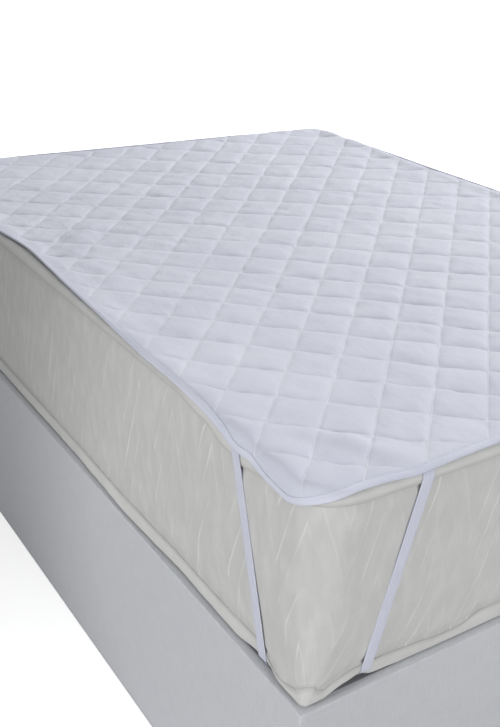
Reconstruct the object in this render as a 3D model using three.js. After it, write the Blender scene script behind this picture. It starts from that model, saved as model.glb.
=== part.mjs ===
// A quilted mattress protector on a mattress and a bed base.
// The flat quilted panel has a sewn binding and one elastic band round each corner of the mattress.
// Millimetres, +Z up. X runs across the bed, Y from the foot (-Y) to the head (+Y).
// The origin is on the floor, under the middle of the bed base.
import * as THREE from 'three';

// ---------------------------------------------------------------- driving dimensions

const SEAT_GAP = 0.3;

const MATTRESS = {
  width: 1380,
  length: 1880,
  height: 350,
  cornerRadius: 60,
  topEdgeRadius: 14,
  bottomEdgeRadius: 6,
  lift: 4.5,
};

// The upright corners are nearly square at the bottom, and rounder above the bottom tape's seam.
const LOW_CORNER = { radius: 16, seamHeight: 32, seamRadius: 36, fullHeight: 110 };

// The soft underside bulges down to the bed base inside this border.
const BULGE = { border: 75, slope: 35, cornerRadius: 150 };

const BASE = { ledge: 15, height: 430, cornerRadius: 8, edgeRadius: 6 };

const TAPE = { thickness: 1.2, topFace: 8, topDrop: 6, bottomWrapSteps: 4 };

const PANEL = {
  cornerRadius: 70,
  edgeThickness: 3,
  thickness: 8,
  edgeClearance: 4.8,
  riseWidth: 60,
  sideStep: 70,
};

// Rings of the panel, by their distance in from its edge. The binding covers the first three.
const PANEL_RINGS = [0, 6, 12, 24, 42];

const BINDING = { thickness: 1, rings: 3 };

const ELASTIC = {
  width: 22,
  thickness: 1.2,
  clearance: 0.7,
  tuck: 18,
  sideTop: 214,
  sideBottom: 106,
  footTop: 189,
  footBottom: 115,
  bendSteps: 8,
};

const CORNER_STEPS = 6;
const EDGE_STEPS = 5;

// How far the panel's edge lies outside (+) or inside (-) the mattress's side, along each side.
// 'at' runs along the side. The elastics pull the edge out and down, and a flap hangs between them.
const LEFT_EDGE = [
  { at: -940, out: 30 },
  { at: -870, out: 33 },
  { at: -820, out: 27 },
  { at: -775, out: 19 },
  { at: -740, out: 20 },
  { at: -660, out: 6 },
  { at: -560, out: 1 },
  { at: -400, out: -1 },
  { at: -200, out: -3 },
  { at: -60, out: -9 },
  { at: 60, out: -20 },
  { at: 170, out: -30 },
  { at: 330, out: -20 },
  { at: 520, out: -4 },
  { at: 735, out: 20 },
  { at: 940, out: 14 },
];
const FOOT_EDGE = [
  { at: -690, out: 3 },
  { at: -610, out: -2 },
  { at: -550, out: 0 },
  { at: -500, out: 9 },
  { at: -450, out: 5 },
  { at: -380, out: -5 },
  { at: -200, out: -9 },
  { at: 60, out: -5 },
  { at: 300, out: -7 },
  { at: 420, out: 0 },
  { at: 500, out: 10 },
  { at: 600, out: 6 },
  { at: 690, out: 12 },
];
const RIGHT_EDGE = [
  { at: -940, out: 20 },
  { at: -735, out: 18 },
  { at: -560, out: 0 },
  { at: -250, out: -8 },
  { at: 100, out: -3 },
  { at: 400, out: -9 },
  { at: 600, out: 2 },
  { at: 735, out: 16 },
  { at: 940, out: 10 },
];
const HEAD_EDGE = [
  { at: -690, out: 8 },
  { at: -500, out: 10 },
  { at: -300, out: -5 },
  { at: 0, out: -10 },
  { at: 300, out: -4 },
  { at: 500, out: 11 },
  { at: 690, out: 6 },
];

// Soft ridges in the panel: the rumple by the left edge, and the pulls towards the elastics.
// 'heading' is in degrees from +X. 'reach' and 'spread' are the half lengths along and across.
const RIDGES = [
  { x: -560, y: 120, heading: 30, reach: 70, spread: 22, height: 7 },
  { x: -600, y: 30, heading: 24, reach: 60, spread: 20, height: 6 },
  { x: -520, y: 215, heading: 38, reach: 80, spread: 24, height: 6 },
  { x: -590, y: -70, heading: 15, reach: 55, spread: 20, height: 4 },
  { x: -548, y: -850, heading: 118, reach: 60, spread: 15, height: 5 },
  { x: -585, y: -800, heading: 128, reach: 75, spread: 17, height: 4 },
  { x: -640, y: -745, heading: 160, reach: 45, spread: 18, height: 3 },
];

const HALF_WIDTH = MATTRESS.width / 2;
const HALF_LENGTH = MATTRESS.length / 2;
const MATTRESS_BOTTOM = BASE.height + MATTRESS.lift;
const MATTRESS_TOP = MATTRESS_BOTTOM + MATTRESS.height;
const TAPE_FACE = SEAT_GAP + TAPE.thickness;
const PANEL_EDGE_RADIUS = MATTRESS.topEdgeRadius + TAPE_FACE + PANEL.edgeClearance;

const QUILT_WHITE = 0xd9dcea;
const ELASTIC_WHITE = 0xd2d4e4;
const TICKING_GREY = 0xbfbfba;
const TAPE_CREAM = 0xc9c8bb;
const UPHOLSTERY_GREY = 0xb8babf;

// ---------------------------------------------------------------- helpers

const smooth = (value) => {
  const t = THREE.MathUtils.clamp(value, 0, 1);
  return t * t * (3 - 2 * t);
};

// Eased value of a table of { at, out } rows.
function tableValue(rows, at) {
  if (at <= rows[0].at) return rows[0].out;
  for (let row = 1; row < rows.length; row += 1) {
    const before = rows[row - 1];
    const after = rows[row];
    if (at <= after.at) {
      const share = smooth((at - before.at) / (after.at - before.at));
      return before.out + (after.out - before.out) * share;
    }
  }
  return rows[rows.length - 1].out;
}

// A rounded rectangle as stations with a position and an outward direction, anticlockwise from the
// middle of the near left corner. Straight sides are split into equal steps of about sideStep.
function roundedOutline(halfX, halfY, radius, cornerSteps, sideStep = Infinity) {
  const stations = [];
  const sides = [
    { start: [-1, -1], along: [1, 0], length: 2 * (halfX - radius) },
    { start: [1, -1], along: [0, 1], length: 2 * (halfY - radius) },
    { start: [1, 1], along: [-1, 0], length: 2 * (halfX - radius) },
    { start: [-1, 1], along: [0, -1], length: 2 * (halfY - radius) },
  ];
  const halfSteps = cornerSteps / 2;
  sides.forEach(({ start, along, length }, side) => {
    const outward = [along[1], -along[0]];
    const first = [start[0] * (halfX - radius), start[1] * (halfY - radius)];
    const arc = (angle, centre) => {
      const nx = outward[0] * Math.cos(angle) + along[0] * Math.sin(angle);
      const ny = outward[1] * Math.cos(angle) + along[1] * Math.sin(angle);
      stations.push({ side, x: centre[0] + nx * radius, y: centre[1] + ny * radius, nx, ny });
    };
    for (let step = 0; step < halfSteps; step += 1) {
      arc((-Math.PI / 4) * (1 - step / halfSteps), first);
    }
    const sideSteps = Math.max(1, Math.round(length / sideStep));
    for (let step = 0; step <= sideSteps; step += 1) {
      const distance = (length * step) / sideSteps;
      arc(0, [first[0] + along[0] * distance, first[1] + along[1] * distance]);
    }
    const last = [first[0] + along[0] * length, first[1] + along[1] * length];
    for (let step = 1; step < halfSteps; step += 1) {
      arc((Math.PI / 4) * (step / halfSteps), last);
    }
  });
  return stations;
}

function toGeometry(points, triangles) {
  const geometry = new THREE.BufferGeometry();
  geometry.setAttribute(
    'position',
    new THREE.Float32BufferAttribute(points.flatMap((p) => [p.x, p.y, p.z]), 3),
  );
  geometry.setIndex(triangles.flat());
  geometry.computeVertexNormals();
  return geometry;
}

// Two triangles for each cell between neighbouring rows of points. A column of cells may be cut
// along its other diagonal.
function bandTriangles(rows, columns, wrapRows, wrapColumns, usesOtherDiagonal = () => false) {
  const triangles = [];
  const rowCount = wrapRows ? rows : rows - 1;
  const columnCount = wrapColumns ? columns : columns - 1;
  for (let row = 0; row < rowCount; row += 1) {
    for (let column = 0; column < columnCount; column += 1) {
      const a = row * columns + column;
      const b = row * columns + ((column + 1) % columns);
      const c = ((row + 1) % rows) * columns + ((column + 1) % columns);
      const d = ((row + 1) % rows) * columns + column;
      if (usesOtherDiagonal(column)) triangles.push([a, b, d], [b, c, d]);
      else triangles.push([a, b, c], [a, c, d]);
    }
  }
  return triangles;
}

// A solid of stacked outlines, lowest first, closed by a flat face at each end.
function stackGeometry(levels) {
  const rings = levels.map(({ z, stations }) => stations.map(({ x, y }) => new THREE.Vector3(x, y, z)));
  const count = rings[0].length;
  const points = rings.flat();
  const triangles = bandTriangles(rings.length, count, false, true);
  const top = (rings.length - 1) * count;
  for (let station = 1; station < count - 1; station += 1) {
    triangles.push([0, station + 1, station]);
    triangles.push([top, top + station, top + station + 1]);
  }
  return toGeometry(points, triangles);
}

// ---------------------------------------------------------------- bed base and mattress

function bedBase() {
  const halfX = HALF_WIDTH + BASE.ledge;
  const halfY = HALF_LENGTH + BASE.ledge;
  const levels = [{ z: 0, stations: roundedOutline(halfX, halfY, BASE.cornerRadius, CORNER_STEPS) }];
  for (let step = 0; step <= EDGE_STEPS; step += 1) {
    const angle = (Math.PI / 2) * (step / EDGE_STEPS);
    const inset = BASE.edgeRadius * (1 - Math.cos(angle));
    levels.push({
      z: BASE.height - BASE.edgeRadius * (1 - Math.sin(angle)),
      stations: roundedOutline(halfX - inset, halfY - inset, BASE.cornerRadius - inset, CORNER_STEPS),
    });
  }
  return stackGeometry(levels);
}

// One level of the mattress's surface. 'out' and 'up' give the direction in which the surface faces.
const surfaceRow = (z, inset, cornerRadius, out, up) => ({ z, inset, cornerRadius, out, up });

// A rounded edge as rows, one facet apart, from one angle to another. Zero faces outwards.
function edgeRows(centreZ, edgeRadius, cornerRadius, firstFacet, lastFacet) {
  const rows = [];
  for (let facet = firstFacet; facet <= lastFacet; facet += 1) {
    const angle = (Math.PI / 2) * (facet / EDGE_STEPS);
    const inset = edgeRadius * (1 - Math.cos(angle));
    const z = centreZ + edgeRadius * Math.sin(angle);
    rows.push(surfaceRow(z, inset, cornerRadius - inset, Math.cos(angle), Math.sin(angle)));
  }
  return rows;
}

// The outline of a row, moved off the mattress's surface by the given distance.
function rowLevel({ z, inset, cornerRadius, out, up }, distance = 0) {
  const grown = distance * out;
  return {
    z: z + distance * up,
    stations: roundedOutline(
      HALF_WIDTH - inset + grown,
      HALF_LENGTH - inset + grown,
      cornerRadius + grown,
      CORNER_STEPS,
    ),
  };
}

const bottomEdge = (firstFacet) => edgeRows(
  MATTRESS_BOTTOM + MATTRESS.bottomEdgeRadius,
  MATTRESS.bottomEdgeRadius,
  LOW_CORNER.radius,
  firstFacet,
  0,
);
const bottomSeam = surfaceRow(MATTRESS_BOTTOM + LOW_CORNER.seamHeight, 0, LOW_CORNER.seamRadius, 1, 0);
const topEdge = edgeRows(
  MATTRESS_TOP - MATTRESS.topEdgeRadius,
  MATTRESS.topEdgeRadius,
  MATTRESS.cornerRadius,
  0,
  EDGE_STEPS,
);

function mattress() {
  const { border, slope, cornerRadius } = BULGE;
  const rows = [
    surfaceRow(BASE.height + SEAT_GAP, border + slope, cornerRadius, 0, -1),
    surfaceRow(MATTRESS_BOTTOM, border, cornerRadius, 0, -1),
    ...bottomEdge(-EDGE_STEPS),
    bottomSeam,
    surfaceRow(MATTRESS_BOTTOM + LOW_CORNER.fullHeight, 0, MATTRESS.cornerRadius, 1, 0),
    ...topEdge,
  ];
  return stackGeometry(rows.map((row) => rowLevel(row)));
}

// A tape laid on the mattress's surface along a few of its rows, lowest first.
function tapeRing(rows) {
  const section = [
    ...rows.map((row) => rowLevel(row, SEAT_GAP)),
    ...rows.map((row) => rowLevel(row, TAPE_FACE)).reverse(),
  ];
  const count = section[0].stations.length;
  const points = [];
  for (let station = 0; station < count; station += 1) {
    section.forEach(({ z, stations }) => {
      points.push(new THREE.Vector3(stations[station].x, stations[station].y, z));
    });
  }
  return toGeometry(points, bandTriangles(count, section.length, true, true));
}

function topTape() {
  const { z, cornerRadius } = topEdge[0];
  const last = topEdge[topEdge.length - 1];
  return tapeRing([
    surfaceRow(z - TAPE.topDrop, 0, cornerRadius, 1, 0),
    ...topEdge,
    surfaceRow(MATTRESS_TOP, last.inset + TAPE.topFace, last.cornerRadius - TAPE.topFace, 0, 1),
  ]);
}

const bottomTape = () => tapeRing([...bottomEdge(-TAPE.bottomWrapSteps), bottomSeam]);

// ---------------------------------------------------------------- quilted panel and binding

// Where the flat mattress top starts to bend down, as a rounded rectangle.
const BEND = {
  halfX: HALF_WIDTH - MATTRESS.topEdgeRadius,
  halfY: HALF_LENGTH - MATTRESS.topEdgeRadius,
  radius: MATTRESS.cornerRadius - MATTRESS.topEdgeRadius,
};

// Distance outside the bend line, and the direction in which it grows.
function beyondBend(x, y) {
  const cornerX = Math.abs(x) - (BEND.halfX - BEND.radius);
  const cornerY = Math.abs(y) - (BEND.halfY - BEND.radius);
  const past = Math.hypot(Math.max(cornerX, 0), Math.max(cornerY, 0));
  const distance = past + Math.min(Math.max(cornerX, cornerY), 0) - BEND.radius;
  let direction = cornerX > cornerY ? [1, 0] : [0, 1];
  if (cornerX > 0 && cornerY > 0) direction = [cornerX / past, cornerY / past];
  return { distance, nx: direction[0] * Math.sign(x), ny: direction[1] * Math.sign(y) };
}

function ridgeHeight(x, y) {
  let height = 0;
  for (const ridge of RIDGES) {
    const heading = THREE.MathUtils.degToRad(ridge.heading);
    const dx = x - ridge.x;
    const dy = y - ridge.y;
    const along = dx * Math.cos(heading) + dy * Math.sin(heading);
    const across = dy * Math.cos(heading) - dx * Math.sin(heading);
    height += ridge.height * Math.exp(-((along / ridge.reach) ** 2) - (across / ridge.spread) ** 2);
  }
  return height;
}

// The panel's underside: a point of the flat cloth laid on the mattress and over its edge.
function laid(x, y) {
  const { distance, nx, ny } = beyondBend(x, y);
  const radius = PANEL_EDGE_RADIUS;
  const centreZ = MATTRESS_TOP - MATTRESS.topEdgeRadius;
  const ridge = ridgeHeight(x, y);
  if (distance <= 0) {
    const edgeRise = radius - MATTRESS.topEdgeRadius;
    const rise = smooth(1 + distance / PANEL.riseWidth) * (edgeRise - SEAT_GAP);
    return new THREE.Vector3(x, y, MATTRESS_TOP + SEAT_GAP + rise + ridge);
  }
  const angle = Math.min(distance / radius, Math.PI / 2);
  const drop = distance - radius * angle;
  const out = radius * Math.sin(angle) - distance;
  const faded = ridge * Math.cos(angle);
  return new THREE.Vector3(x + nx * out, y + ny * out, centreZ + radius * Math.cos(angle) - drop + faded);
}

// A point of the underside with its outward direction and the panel's thickness there.
function panelPoint({ x, y, inside }) {
  const step = 0.5;
  const alongX = laid(x + step, y).sub(laid(x - step, y));
  const alongY = laid(x, y + step).sub(laid(x, y - step));
  const fill = smooth((inside - PANEL_RINGS[2]) / (PANEL_RINGS[4] - PANEL_RINGS[2]));
  return {
    point: laid(x, y),
    normal: alongX.cross(alongY).normalize(),
    thickness: PANEL.edgeThickness + (PANEL.thickness - PANEL.edgeThickness) * fill,
  };
}

const PANEL_STATIONS = roundedOutline(
  HALF_WIDTH,
  HALF_LENGTH,
  PANEL.cornerRadius,
  CORNER_STEPS,
  PANEL.sideStep,
);

// The flat cloth's outline, drawn in by the given distance.
function panelRing(inside) {
  return PANEL_STATIONS.map(({ x, y, nx, ny }) => {
    const outX = tableValue(nx < 0 ? LEFT_EDGE : RIGHT_EDGE, y);
    const outY = tableValue(ny < 0 ? FOOT_EDGE : HEAD_EDGE, x);
    return { x: x + nx * (outX - inside), y: y + ny * (outY - inside), inside };
  });
}

// Points inside a ring, blended from its four sides.
function innerGrid(ring) {
  const starts = [0, 1, 2, 3].map((side) => PANEL_STATIONS.findIndex((station) => station.side === side));
  const acrossCount = starts[1] - starts[0];
  const alongCount = starts[2] - starts[1];
  const at = (index) => ring[index % ring.length];
  const foot = (i) => at(starts[0] + i);
  const right = (j) => at(starts[1] + j);
  const head = (i) => at(starts[3] - i);
  const left = (j) => at(starts[3] + alongCount - j);
  const grid = [];
  for (let j = 0; j <= alongCount; j += 1) {
    const v = (right(j).y - right(0).y) / (right(alongCount).y - right(0).y);
    const row = [];
    for (let i = 0; i <= acrossCount; i += 1) {
      const u = (foot(i).x - foot(0).x) / (foot(acrossCount).x - foot(0).x);
      const blend = (axis) => (
        (1 - v) * foot(i)[axis] + v * head(i)[axis] + (1 - u) * left(j)[axis] + u * right(j)[axis]
        - (1 - u) * (1 - v) * foot(0)[axis] - u * (1 - v) * foot(acrossCount)[axis]
        - (1 - u) * v * head(0)[axis] - u * v * head(acrossCount)[axis]
      );
      row.push({ x: blend('x'), y: blend('y'), inside: ring[0].inside });
    }
    grid.push(row);
  }
  return { grid, acrossCount, alongCount, starts };
}

function quiltPanel() {
  const rings = PANEL_RINGS.map(panelRing);
  const count = PANEL_STATIONS.length;
  const { grid, acrossCount, alongCount, starts } = innerGrid(rings[rings.length - 1]);
  const lastRing = (rings.length - 1) * count;
  const flat = rings.flat();
  // The grid's border is the last ring, so only its inner points are new.
  const index = grid.map((row, j) => row.map((place, i) => {
    if (j === 0) return lastRing + starts[0] + i;
    if (i === acrossCount) return lastRing + starts[1] + j;
    if (j === alongCount) return lastRing + starts[3] - i;
    if (i === 0) return lastRing + ((starts[3] + alongCount - j) % count);
    flat.push(place);
    return flat.length - 1;
  }));
  const middle = [];
  for (let j = 0; j < alongCount; j += 1) {
    for (let i = 0; i < acrossCount; i += 1) {
      const [a, b, c, d] = [index[j][i], index[j][i + 1], index[j + 1][i + 1], index[j + 1][i]];
      middle.push([a, b, c], [a, c, d]);
    }
  }
  const upper = [...bandTriangles(rings.length, count, false, true), ...middle];
  const places = flat.map(panelPoint);
  const top = places.map(({ point, normal, thickness }) => point.clone().addScaledVector(normal, thickness));
  const bottom = places.map(({ point }) => point);
  const size = flat.length;
  const lower = upper.map(([a, b, c]) => [a + size, c + size, b + size]);
  const edge = [];
  for (let station = 0; station < count; station += 1) {
    const next = (station + 1) % count;
    edge.push([station, station + size, next + size], [station, next + size, next]);
  }
  return toGeometry([...top, ...bottom], [...upper, ...lower, ...edge]);
}

// A tape folded round the panel's edge, with a U section that follows the panel's first rings.
function edgeBinding() {
  const rings = PANEL_RINGS.slice(0, BINDING.rings).map((inside) => panelRing(inside).map(panelPoint));
  const inner = SEAT_GAP;
  const outer = SEAT_GAP + BINDING.thickness;
  const points = [];
  PANEL_STATIONS.forEach((_, station) => {
    const across = rings.map((ring) => ring[station]);
    const outward = across[0].point.clone().sub(across[1].point).normalize();
    const place = ({ point, normal, thickness }, ring, side, gap) => {
      const height = side === 'top' ? thickness + gap : -gap;
      return point.clone().addScaledVector(normal, height).addScaledVector(outward, ring === 0 ? gap : 0);
    };
    const leg = (side, gap) => across.map((piece, ring) => place(piece, ring, side, gap));
    points.push(
      ...leg('top', inner),
      ...leg('top', outer).reverse(),
      ...leg('bottom', outer),
      ...leg('bottom', inner).reverse(),
    );
  });
  // The diagonals of all four faces lie over those of the panel, so that none of them cross.
  const sectionSize = 4 * BINDING.rings;
  const runsOutwards = (column) => Math.floor(column / BINDING.rings) % 2 === 1;
  return toGeometry(points, bandTriangles(PANEL_STATIONS.length, sectionSize, true, true, runsOutwards));
}

// ---------------------------------------------------------------- corner elastics

// One leg of an elastic, from its sewn end under the panel, down the mattress's face and round the
// bottom edge. 'alongEdge' points away from the corner and 'outward' out of the face.
function elasticLeg(corner, alongEdge, outward, topDistance, bottomDistance) {
  const { topEdgeRadius, bottomEdgeRadius, height } = MATTRESS;
  const { bendSteps } = ELASTIC;
  const offSurface = TAPE_FACE + ELASTIC.clearance + ELASTIC.thickness / 2;
  const topRadius = topEdgeRadius + offSurface;
  const bottomRadius = bottomEdgeRadius + offSurface;
  const topCentre = MATTRESS_TOP - topEdgeRadius;
  const bottomCentre = MATTRESS_BOTTOM + bottomEdgeRadius;
  const faceHeight = height - topEdgeRadius - bottomEdgeRadius;
  const slant = (bottomDistance - topDistance) / faceHeight;
  const stations = [];
  // 'travel' is the length gone down from the top of the straight face.
  const add = (travel, out, z, angle) => {
    const position = corner.clone()
      .addScaledVector(alongEdge, topDistance + slant * travel)
      .addScaledVector(outward, out);
    position.z = z;
    const normal = outward.clone().multiplyScalar(Math.cos(angle)).setZ(Math.sin(angle));
    stations.push({ position, normal });
  };
  const quarter = (topRadius * Math.PI) / 2;
  add(-quarter - ELASTIC.tuck, -topEdgeRadius - ELASTIC.tuck, topCentre + topRadius, Math.PI / 2);
  for (let step = 0; step <= bendSteps; step += 1) {
    const angle = (Math.PI / 2) * (1 - step / bendSteps);
    const out = topRadius * Math.cos(angle) - topEdgeRadius;
    add(-topRadius * angle, out, topCentre + topRadius * Math.sin(angle), angle);
  }
  for (let step = 0; step <= bendSteps; step += 1) {
    const angle = (-Math.PI / 2) * (step / bendSteps);
    const out = bottomRadius * Math.cos(angle) - bottomEdgeRadius;
    add(faceHeight - bottomRadius * angle, out, bottomCentre + bottomRadius * Math.sin(angle), angle);
  }
  const inward = outward.clone().negate().addScaledVector(alongEdge, slant).normalize();
  return { stations, inward };
}

// The band's stretch under the mattress, curving from one leg to the other.
function elasticUnderside(first, second) {
  const start = first.stations[first.stations.length - 1].position;
  const end = second.stations[second.stations.length - 1].position;
  const reach = start.distanceTo(end) * 0.36;
  const curve = new THREE.CubicBezierCurve3(
    start,
    start.clone().addScaledVector(first.inward, reach),
    end.clone().addScaledVector(second.inward, reach),
    end,
  );
  const down = new THREE.Vector3(0, 0, -1);
  return curve.getPoints(8).slice(1, -1).map((position) => ({ position, normal: down.clone() }));
}

function cornerElastic(signX, signY) {
  const corner = new THREE.Vector3(signX * HALF_WIDTH, signY * HALF_LENGTH, 0);
  const towardsMiddleX = new THREE.Vector3(-signX, 0, 0);
  const towardsMiddleY = new THREE.Vector3(0, -signY, 0);
  const outX = new THREE.Vector3(signX, 0, 0);
  const outY = new THREE.Vector3(0, signY, 0);
  const sideLeg = elasticLeg(corner, towardsMiddleY, outX, ELASTIC.sideTop, ELASTIC.sideBottom);
  const footLeg = elasticLeg(corner, towardsMiddleX, outY, ELASTIC.footTop, ELASTIC.footBottom);
  const stations = [
    ...sideLeg.stations,
    ...elasticUnderside(sideLeg, footLeg),
    ...footLeg.stations.slice().reverse(),
  ];
  const points = [];
  stations.forEach(({ position, normal }, station) => {
    const before = stations[Math.max(station - 1, 0)].position;
    const after = stations[Math.min(station + 1, stations.length - 1)].position;
    const tangent = after.clone().sub(before).normalize();
    const across = normal.clone().cross(tangent).normalize().multiplyScalar(ELASTIC.width / 2);
    const lift = normal.clone().multiplyScalar(ELASTIC.thickness / 2);
    points.push(
      position.clone().add(across).add(lift),
      position.clone().sub(across).add(lift),
      position.clone().sub(across).sub(lift),
      position.clone().add(across).sub(lift),
    );
  });
  const triangles = bandTriangles(stations.length, 4, false, true);
  const last = (stations.length - 1) * 4;
  triangles.push([0, 2, 1], [0, 3, 2], [last, last + 1, last + 2], [last, last + 2, last + 3]);
  return toGeometry(points, triangles);
}

// ---------------------------------------------------------------- the object

const bed = new THREE.Group();

function addPiece(name, geometry, color, roughness) {
  const material = new THREE.MeshStandardMaterial({ color, roughness, metalness: 0 });
  const mesh = new THREE.Mesh(geometry, material);
  mesh.name = name;
  bed.add(mesh);
}

addPiece('bed_base', bedBase(), UPHOLSTERY_GREY, 0.85);
addPiece('mattress', mattress(), TICKING_GREY, 0.9);
addPiece('mattress_top_tape', topTape(), TAPE_CREAM, 0.85);
addPiece('mattress_bottom_tape', bottomTape(), TAPE_CREAM, 0.85);
addPiece('quilt_panel', quiltPanel(), QUILT_WHITE, 0.9);
addPiece('edge_binding', edgeBinding(), QUILT_WHITE, 0.85);
addPiece('corner_elastic_near_left', cornerElastic(-1, -1), ELASTIC_WHITE, 0.8);
addPiece('corner_elastic_near_right', cornerElastic(1, -1), ELASTIC_WHITE, 0.8);
addPiece('corner_elastic_far_right', cornerElastic(1, 1), ELASTIC_WHITE, 0.8);
addPiece('corner_elastic_far_left', cornerElastic(-1, 1), ELASTIC_WHITE, 0.8);

export default bed;
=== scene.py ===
"""The looks of a quilted mattress protector on its mattress and bed base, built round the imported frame.

Metres, +Z up. X runs across the bed, and Y from the foot (-Y) to the head (+Y).
"""
import math

import bmesh
import bpy
import numpy as np
from mathutils import Matrix, Vector


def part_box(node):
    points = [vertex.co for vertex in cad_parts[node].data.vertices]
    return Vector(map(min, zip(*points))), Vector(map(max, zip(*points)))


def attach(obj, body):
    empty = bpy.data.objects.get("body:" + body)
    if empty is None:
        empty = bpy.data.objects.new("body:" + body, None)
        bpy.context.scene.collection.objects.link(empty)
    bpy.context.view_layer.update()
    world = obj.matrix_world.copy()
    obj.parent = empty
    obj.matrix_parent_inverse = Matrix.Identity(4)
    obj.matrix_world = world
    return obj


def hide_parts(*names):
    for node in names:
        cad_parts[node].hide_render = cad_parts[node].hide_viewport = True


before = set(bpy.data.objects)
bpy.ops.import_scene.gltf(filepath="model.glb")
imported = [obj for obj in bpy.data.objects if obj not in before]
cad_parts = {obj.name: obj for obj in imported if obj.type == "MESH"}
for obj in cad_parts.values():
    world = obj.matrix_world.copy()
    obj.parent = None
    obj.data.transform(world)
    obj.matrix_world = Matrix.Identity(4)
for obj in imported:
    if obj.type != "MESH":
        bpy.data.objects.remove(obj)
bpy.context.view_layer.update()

# -------- sizes from the frame

BASE_LOW, BASE_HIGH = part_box("bed_base")
MATTRESS_LOW, MATTRESS_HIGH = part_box("mattress")

MATTRESS_HALF = Vector((MATTRESS_HIGH.x, MATTRESS_HIGH.y))
MATTRESS_TOP = MATTRESS_HIGH.z
MATTRESS_REST = MATTRESS_LOW.z
BORDER_LIFT = 0.0042
MATTRESS_BOTTOM = MATTRESS_REST + BORDER_LIFT
MATTRESS_CORNER = 0.060
TOP_EDGE = 0.014
BOTTOM_EDGE = 0.006
SEAT_GAP = 0.0003
TAPE_THICKNESS = 0.0012
TAPE_FACE = SEAT_GAP + TAPE_THICKNESS

# -------- the laid cloth

PANEL_CLEARANCE = 0.0048
PANEL_EDGE_RADIUS = TOP_EDGE + TAPE_FACE + PANEL_CLEARANCE
PANEL_CORNER = 0.070
PANEL_RISE_WIDTH = 0.060
EDGE_SLACK_WIDTH = 0.17

# Stitching: two sets of straight lines. 'normal' is the direction across a set's lines in degrees
# from +X, and 'start' the distance of its line number 0 from QUILT_MIDDLE. Among the lines numbered
# in 'uneven' the cloth is drawn out a little: each gap is wider than the last by 'growth', and each
# line is turned from the last by 'turn' degrees.
QUILT_MIDDLE = (-0.081, -0.196)
QUILT_LINES = (
    {"normal": -45.4, "start": 0.317, "gap": -0.0869, "growth": 0.0, "turn": 0.4, "uneven": (1, 8)},
    {"normal": 48.0, "start": -0.668, "gap": 0.0915, "growth": 0.0055, "turn": 1.3, "uneven": (4, 12)},
)
LINE_NUMBERS = np.arange(-30, 31)
for quilt_set in QUILT_LINES:
    first_uneven, last_uneven = quilt_set["uneven"]
    steps = np.clip(LINE_NUMBERS - first_uneven, 0, last_uneven - first_uneven)
    gaps = quilt_set["gap"] + quilt_set["growth"] * steps
    distances = np.cumsum(gaps) - gaps
    quilt_set["distances"] = quilt_set["start"] + distances - distances[LINE_NUMBERS == 0]
    quilt_set["headings"] = np.radians(quilt_set["normal"] + quilt_set["turn"] * steps)

STITCHED_THICKNESS = 0.0026
PANEL_LIFT = 0.0002
PUFF_HEIGHT = 0.0046
CROWN_HEIGHT = 0.0014
VALLEY_WIDTH = 0.0085
# Puckers beside the stitching: height, how far they reach from it and how many there are to a square.
PUCKERS = {"height": 0.0016, "reach": 0.016, "to_square": 4.6}
# Soft waves in two slanting directions: height, and size across and along a wave.
WAVES = (
    {"height": 0.0011, "across": 0.026, "along": 0.070, "seed": 21},
    {"height": 0.0010, "across": 0.018, "along": 0.055, "seed": 22},
)
# The whole panel's gentle swell, and how far inside the binding the quilting is at its full height.
SWELL = {"height": 0.0012, "size": 0.16}
FREE_WIDTH = 0.030

# How far the panel's edge lies outside (+) or inside (-) the mattress's side, as (place, out).
LEFT_EDGE = (
    (-0.940, 0.026), (-0.870, 0.030), (-0.820, 0.026), (-0.775, 0.018), (-0.740, 0.020),
    (-0.700, 0.012), (-0.660, 0.007), (-0.560, 0.001), (-0.400, -0.001), (-0.200, -0.009),
    (-0.060, -0.014), (0.060, -0.021), (0.170, -0.026), (0.330, -0.010), (0.520, 0.000),
    (0.735, 0.018), (0.940, 0.014),
)
FOOT_EDGE = (
    (-0.690, -0.002), (-0.650, 0.000), (-0.605, -0.002), (-0.555, 0.000), (-0.525, 0.003),
    (-0.485, 0.001), (-0.445, -0.001), (-0.380, -0.003), (-0.200, -0.008), (0.060, -0.005),
    (0.300, -0.007), (0.420, 0.000), (0.500, 0.010), (0.600, 0.006), (0.690, 0.012),
)
RIGHT_EDGE = (
    (-0.940, 0.020), (-0.735, 0.018), (-0.560, 0.000), (-0.250, -0.008), (0.100, -0.003),
    (0.400, -0.009), (0.600, 0.002), (0.735, 0.016), (0.940, 0.010),
)
HEAD_EDGE = (
    (-0.690, 0.008), (-0.500, 0.010), (-0.300, -0.005), (0.000, -0.010), (0.300, -0.004),
    (0.500, 0.011), (0.690, 0.006),
)

# Soft ridges in the laid cloth, listed one by one: (x, y, heading in degrees, reach, spread, height).
RIDGES = (
    (-0.560, 0.120, 30, 0.070, 0.022, 0.0045),
    (-0.600, 0.030, 24, 0.060, 0.020, 0.0040),
    (-0.520, 0.215, 38, 0.080, 0.024, 0.0040),
    (-0.590, -0.070, 15, 0.055, 0.020, 0.0030),
    (-0.548, -0.850, 118, 0.060, 0.015, 0.0050),
    (-0.585, -0.800, 128, 0.075, 0.017, 0.0040),
    (-0.640, -0.745, 160, 0.045, 0.018, 0.0030),
)

BINDING_WIDTH = 0.010
BINDING_THICKNESS = 0.0010
ELASTIC_WIDTH = 0.022
ELASTIC_THICKNESS = 0.0012


def smooth(value):
    t = np.clip(value, 0.0, 1.0)
    return t * t * (3 - 2 * t)


def row_before(places, at):
    return np.clip(np.searchsorted(places, at, side="right") - 1, 0, len(places) - 2)


def unit(vectors):
    return vectors / np.linalg.norm(vectors, axis=-1, keepdims=True)


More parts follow.
